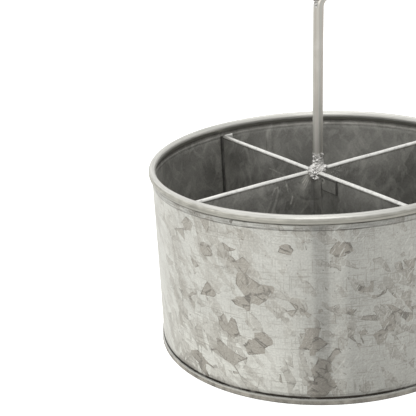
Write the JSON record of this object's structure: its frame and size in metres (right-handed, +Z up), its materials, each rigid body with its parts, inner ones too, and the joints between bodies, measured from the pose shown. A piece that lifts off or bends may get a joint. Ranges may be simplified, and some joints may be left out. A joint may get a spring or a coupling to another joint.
{
  "type": "cutlery caddy",
  "caption": "Round sheet-steel cutlery caddy with a rolled rim, crossed dividers that form compartments, and an upright rod handle ending in a finger ring.",
  "frame": {"origin": "middle of the underside of the base, on the surface that the caddy stands on", "axes": "+Z up along the handle rod; the long divider runs along Y and the two half dividers along X"},
  "size_m": [0.2, 0.2, 0.2498],
  "materials": {
    "galvanised_wall": "galvanised, spangled, dull",
    "galvanised_divider": "galvanised, weathered grey",
    "rod_steel": "galvanised, satin",
    "weld_metal": "rough weld metal"
  },
  "bodies": {
    "root": {"tub_wall": "galvanised_wall", "rim_wire": "rod_steel", "base_pan": "galvanised_wall", "long_divider": "galvanised_divider", "left_half_divider": "galvanised_divider", "right_half_divider": "galvanised_divider", "joint_plate": "galvanised_divider", "handle_rod": "rod_steel", "hub_weld": "weld_metal", "loop_weld": "weld_metal"}
  },
  "joints": []
}
